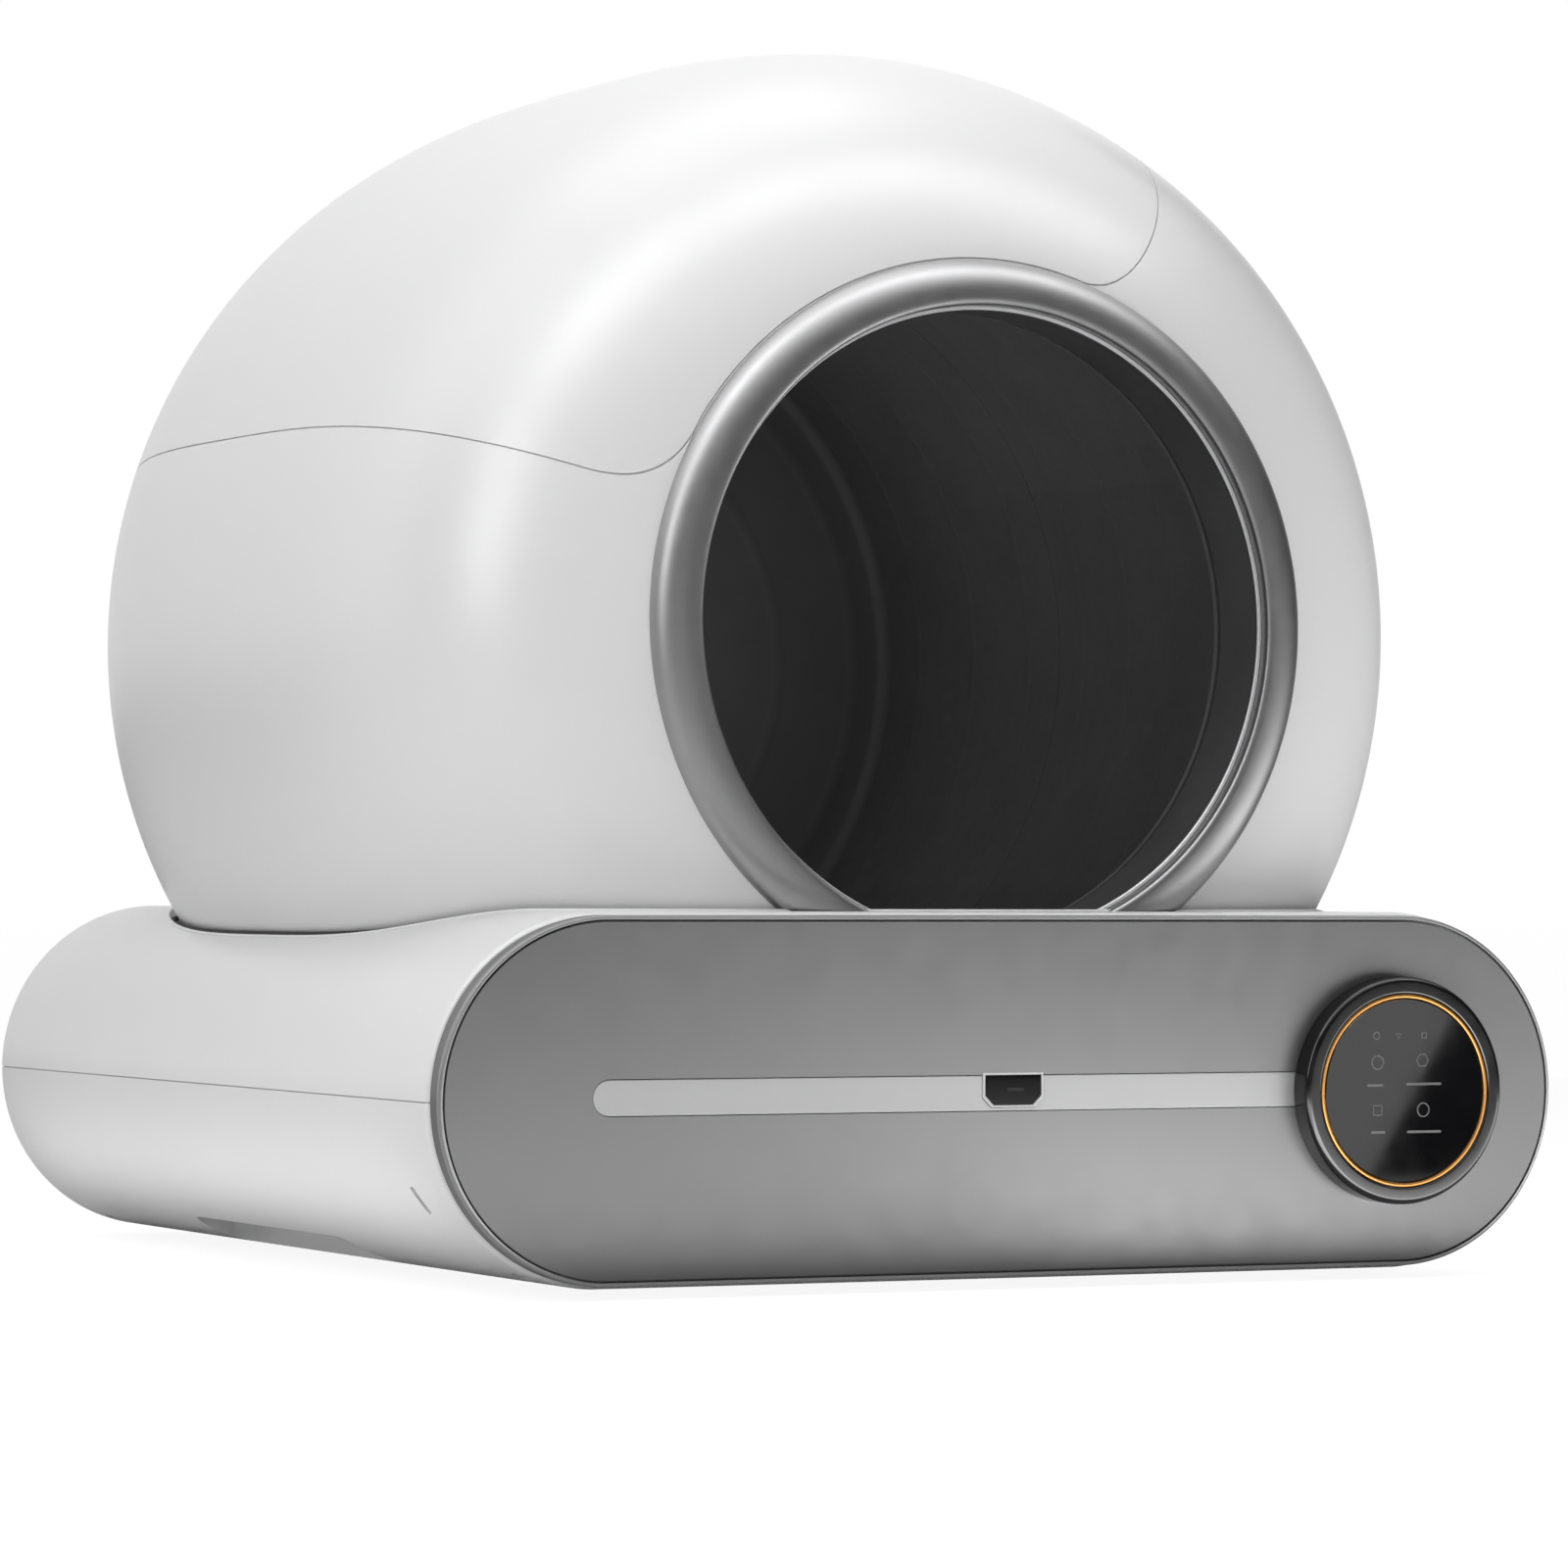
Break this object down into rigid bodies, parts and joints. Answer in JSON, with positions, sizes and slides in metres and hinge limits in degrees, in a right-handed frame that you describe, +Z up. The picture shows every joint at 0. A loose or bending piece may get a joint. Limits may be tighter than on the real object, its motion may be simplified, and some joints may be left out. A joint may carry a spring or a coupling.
{
  "type": "self cleaning litter box",
  "caption": "Self cleaning litter box with a white dome, a round entrance into a turning drum, and a flat base with a pull-out waste drawer and a round touch dial.",
  "frame": {"origin": "middle of the overall box in plan, on the floor under the feet", "axes": "+Z up, the entrance and the drawer face -Y, +X to the right seen from the front"},
  "size_m": [0.533, 0.5774, 0.5474],
  "materials": {
    "white_shell": "satin moulded",
    "satin_ring": "satin silver plated",
    "grey_panel": "satin painted",
    "light_strip": "frosted",
    "black_plastic": "semi-gloss moulded",
    "drum_plastic": "fine moulded grain",
    "gold_ring": "copper gold plated",
    "dark_glass": "polished",
    "grey_plastic": "moulded grain",
    "rubber": "matte",
    "steel": "zinc plated",
    "circuit_green": "solder resist"
  },
  "bodies": {
    "housing": {"lower_tub": "white_shell", "upper_deck": "white_shell", "dome_shell": "white_shell", "entrance_ring": "satin_ring", "entrance_tunnel": "black_plastic", "drum_seal": "rubber", "gear_motor": "steel", "motor_bracket": "steel", "roller_axle_front_left": "steel", "roller_axle_front_right": "steel", "roller_axle_rear_left": "steel", "roller_axle_rear_right": "steel", "chute_seal": "rubber", "control_board": "circuit_green", "dc_inlet": "black_plastic", "deodoriser_cartridge": "grey_plastic", "drawer_socket": "black_plastic", "drawer_runner_left": "grey_plastic", "drawer_runner_right": "grey_plastic", "foot_front_left": "rubber", "foot_front_right": "rubber", "foot_rear_left": "rubber", "foot_rear_right": "rubber", "weight_sensor_front_left": "steel", "weight_sensor_front_right": "steel", "weight_sensor_rear_left": "steel", "weight_sensor_rear_right": "steel", "base_screw_front_left": "steel", "base_screw_front_right": "steel", "base_screw_rear_left": "steel", "base_screw_rear_right": "steel"},
    "drum": {"drum_front": "drum_plastic", "drum_rear": "drum_plastic", "sifting_grate": "drum_plastic", "ring_gear": "grey_plastic"},
    "pinion": {"drive_pinion": "grey_plastic"},
    "wheel_front_left": {"roller_front_left": "rubber"},
    "wheel_front_right": {"roller_front_right": "rubber"},
    "wheel_rear_left": {"roller_rear_left": "rubber"},
    "wheel_rear_right": {"roller_rear_right": "rubber"},
    "top_cover": {"dome_cover": "white_shell"},
    "drawer": {"drawer_bin": "grey_plastic", "bag_frame": "grey_plastic", "drawer_plug": "black_plastic", "front_panel": "grey_panel", "light_strip": "light_strip", "sensor_window": "dark_glass", "sensor_board": "circuit_green", "dial_bezel": "black_plastic", "dial_ring": "gold_ring", "dial_glass": "dark_glass", "display_board": "circuit_green"}
  },
  "joints": [
    {"name": "drum_spin", "type": "hinge", "parent": "housing", "child": "drum", "pos_m": [0, 0, 0.2826], "axis": [0, 1, 0], "continuous": true},
    {"name": "pinion_spin", "type": "hinge", "parent": "housing", "child": "pinion", "pos_m": [0.09644, 0.1761, 0.08487], "axis": [0, 1, 0], "continuous": true},
    {"name": "roller_front_left_spin", "type": "hinge", "parent": "housing", "child": "wheel_front_left", "pos_m": [-0.12886, -0.1569, 0.11767], "axis": [0, 1, 0], "continuous": true},
    {"name": "roller_front_right_spin", "type": "hinge", "parent": "housing", "child": "wheel_front_right", "pos_m": [0.12886, -0.1569, 0.11767], "axis": [0, 1, 0], "continuous": true},
    {"name": "roller_rear_left_spin", "type": "hinge", "parent": "housing", "child": "wheel_rear_left", "pos_m": [-0.12886, 0.1331, 0.11767], "axis": [0, 1, 0], "continuous": true},
    {"name": "roller_rear_right_spin", "type": "hinge", "parent": "housing", "child": "wheel_rear_right", "pos_m": [0.12886, 0.1331, 0.11767], "axis": [0, 1, 0], "continuous": true},
    {"name": "cover_lift", "type": "slide", "parent": "housing", "child": "top_cover", "axis": [0, 0, 1], "range_m": [0, 0.2]},
    {"name": "drawer_slide", "type": "slide", "parent": "housing", "child": "drawer", "axis": [0, -1, 0], "range_m": [0, 0.28]}
  ],
  "couplings": [
    {"joint": "pinion_spin", "follows": "drum_spin", "ratio": -10},
    {"joint": "roller_front_left_spin", "follows": "drum_spin", "ratio": -10},
    {"joint": "roller_front_right_spin", "follows": "drum_spin", "ratio": -10},
    {"joint": "roller_rear_left_spin", "follows": "drum_spin", "ratio": -10},
    {"joint": "roller_rear_right_spin", "follows": "drum_spin", "ratio": -10}
  ]
}
